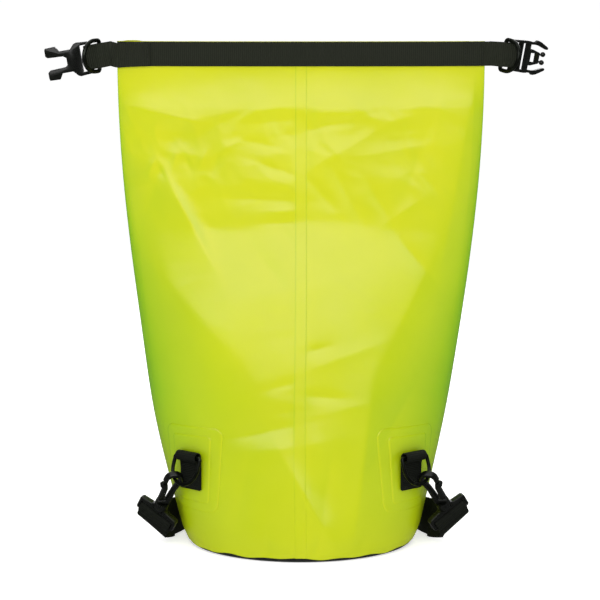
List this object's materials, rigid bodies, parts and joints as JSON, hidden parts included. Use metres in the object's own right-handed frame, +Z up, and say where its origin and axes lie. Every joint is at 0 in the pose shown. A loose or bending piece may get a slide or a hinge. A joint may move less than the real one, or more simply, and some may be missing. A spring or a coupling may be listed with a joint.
{
  "type": "roll-top dry bag",
  "caption": "Roll-top waterproof bag standing empty: round base, flat mouth with side-release buckle, D-rings, snap hooks and a webbing strap.",
  "frame": {"origin": "centre of the base's underside, on the surface it stands on", "axes": "+Z up; +X to the buckle's plug side; -Y is the side with the lap seam and the two low rings"},
  "size_m": [0.5057, 0.2403, 0.512],
  "materials": {
    "yellow_tarpaulin": "semi-gloss PVC-coated tarpaulin",
    "black_tarpaulin": "semi-gloss PVC-coated tarpaulin",
    "webbing": "ribbed woven polyester webbing",
    "black_plastic": "moulded acetal, satin",
    "ring_metal": "black coated wire, satin",
    "stiffener": "plain sheet"
  },
  "bodies": {
    "root": {"bag_wall": "yellow_tarpaulin", "base_panel": "black_tarpaulin", "base_weld_rim": "black_tarpaulin", "left_outer_patch": "yellow_tarpaulin", "left_inner_patch": "yellow_tarpaulin", "right_outer_patch": "yellow_tarpaulin", "right_inner_patch": "yellow_tarpaulin", "left_lug_tab": "webbing", "right_lug_tab": "webbing", "shoulder_strap": "webbing", "strap_return": "webbing", "strap_slider": "black_plastic"},
    "roll_panel": {"roll_panel": "yellow_tarpaulin"},
    "mouth": {"mouth_hem": "yellow_tarpaulin", "stiffener_strip": "stiffener", "front_band": "webbing", "left_band_overlap": "webbing"},
    "left_end": {"left_end_loop": "webbing"},
    "right_end": {"right_end_loop": "webbing"},
    "left_top_ring": {"left_top_ring": "ring_metal"},
    "right_top_ring": {"right_top_ring": "ring_metal"},
    "socket": {"buckle_socket": "black_plastic"},
    "plug": {"buckle_plug": "black_plastic"},
    "prong_upper": {"plug_prong_upper": "black_plastic"},
    "prong_lower": {"plug_prong_lower": "black_plastic"},
    "left_low_ring": {"left_low_ring": "ring_metal"},
    "left_hook": {"left_hook": "black_plastic"},
    "left_gate": {"left_gate": "black_plastic"},
    "left_hook_base": {"left_hook_base": "black_plastic", "left_strap_end": "webbing"},
    "right_low_ring": {"right_low_ring": "ring_metal"},
    "right_hook": {"right_hook": "black_plastic"},
    "right_gate": {"right_gate": "black_plastic"},
    "right_hook_base": {"right_hook_base": "black_plastic", "right_strap_end": "webbing"}
  },
  "joints": [
    {"name": "roll_fold_lower", "type": "hinge", "parent": "root", "child": "roll_panel", "pos_m": [0, -0.021, 0.4518], "axis": [1, 0, 0], "range_deg": [0, 165]},
    {"name": "roll_fold_upper", "type": "hinge", "parent": "roll_panel", "child": "mouth", "pos_m": [0, -0.0105, 0.4798], "axis": [1, 0, 0], "range_deg": [0, 170]},
    {"name": "left_end_bend", "type": "hinge", "parent": "mouth", "child": "left_end", "pos_m": [-0.187, 0, 0.4955], "axis": [0, 0, 1], "range_deg": [-60, 85]},
    {"name": "right_end_bend", "type": "hinge", "parent": "mouth", "child": "right_end", "pos_m": [0.1886, 0, 0.4955], "axis": [0, 0, 1], "range_deg": [-85, 60]},
    {"name": "left_top_ring_pivot", "type": "hinge", "parent": "left_end", "child": "left_top_ring", "pos_m": [-0.20161, 0, 0.4935], "axis": [-0.0174, 0, 0.9998], "range_deg": [0, 50]},
    {"name": "right_top_ring_pivot", "type": "hinge", "parent": "right_end", "child": "right_top_ring", "pos_m": [0.20216, 0, 0.4947], "axis": [0.225, 0, 0.9744], "range_deg": [-50, 4]},
    {"name": "socket_pivot", "type": "hinge", "parent": "left_end", "child": "socket", "pos_m": [-0.21057, 0, 0.49192], "axis": [-0.1736, 0, 0.9848], "range_deg": [-55, 3]},
    {"name": "plug_pivot", "type": "hinge", "parent": "right_end", "child": "plug", "pos_m": [0.21123, 0, 0.49406], "axis": [0.1736, 0, 0.9848], "range_deg": [-30, 10]},
    {"name": "prong_upper_flex", "type": "hinge", "parent": "plug", "child": "prong_upper", "pos_m": [0.23056, 0.01437, 0.50507], "axis": [-0.633, 0.766, 0.1116], "range_deg": [0, 7], "stiffness_Nm_per_rad": 0.4},
    {"name": "prong_lower_flex", "type": "hinge", "parent": "plug", "child": "prong_lower", "pos_m": [0.22563, 0.01437, 0.47711], "axis": [-0.633, 0.766, 0.1116], "range_deg": [-7, 0], "stiffness_Nm_per_rad": 0.4},
    {"name": "left_ring_pivot", "type": "hinge", "parent": "root", "child": "left_low_ring", "pos_m": [-0.11275, -0.06529, 0.0985], "axis": [0.7132, -0.7009, 0], "range_deg": [-28, 0]},
    {"name": "left_hook_swing", "type": "hinge", "parent": "left_low_ring", "child": "left_hook", "pos_m": [-0.12646, -0.06217, 0.07576], "axis": [-0.1437, 0.7713, 0.62], "range_deg": [-5, 16]},
    {"name": "left_gate_travel", "type": "hinge", "parent": "left_hook", "child": "left_gate", "pos_m": [-0.1412, -0.04598, 0.05219], "axis": [-0.1437, 0.7713, 0.62], "range_deg": [0, 10], "stiffness_Nm_per_rad": 0.3},
    {"name": "left_swivel", "type": "hinge", "parent": "left_hook", "child": "left_hook_base", "pos_m": [-0.12646, -0.06217, 0.07576], "axis": [0.3399, -0.5499, 0.7629], "range_deg": [-45, 3]},
    {"name": "right_ring_pivot", "type": "hinge", "parent": "root", "child": "right_low_ring", "pos_m": [0.11275, -0.06529, 0.0985], "axis": [0.7132, 0.7009, 0], "range_deg": [-28, 0]},
    {"name": "right_hook_swing", "type": "hinge", "parent": "right_low_ring", "child": "right_hook", "pos_m": [0.12663, -0.06186, 0.07607], "axis": [-0.1379, -0.7668, -0.6269], "range_deg": [-5, 16]},
    {"name": "right_gate_travel", "type": "hinge", "parent": "right_hook", "child": "right_gate", "pos_m": [0.14319, -0.04624, 0.05333], "axis": [-0.1379, -0.7668, -0.6269], "range_deg": [0, 10], "stiffness_Nm_per_rad": 0.3},
    {"name": "right_swivel", "type": "hinge", "parent": "right_hook", "child": "right_hook_base", "pos_m": [0.12663, -0.06186, 0.07607], "axis": [-0.3996, -0.536, 0.7436], "range_deg": [-3, 45]}
  ],
  "couplings": [
    {"joint": "prong_lower_flex", "follows": "prong_upper_flex", "ratio": -1}
  ]
}
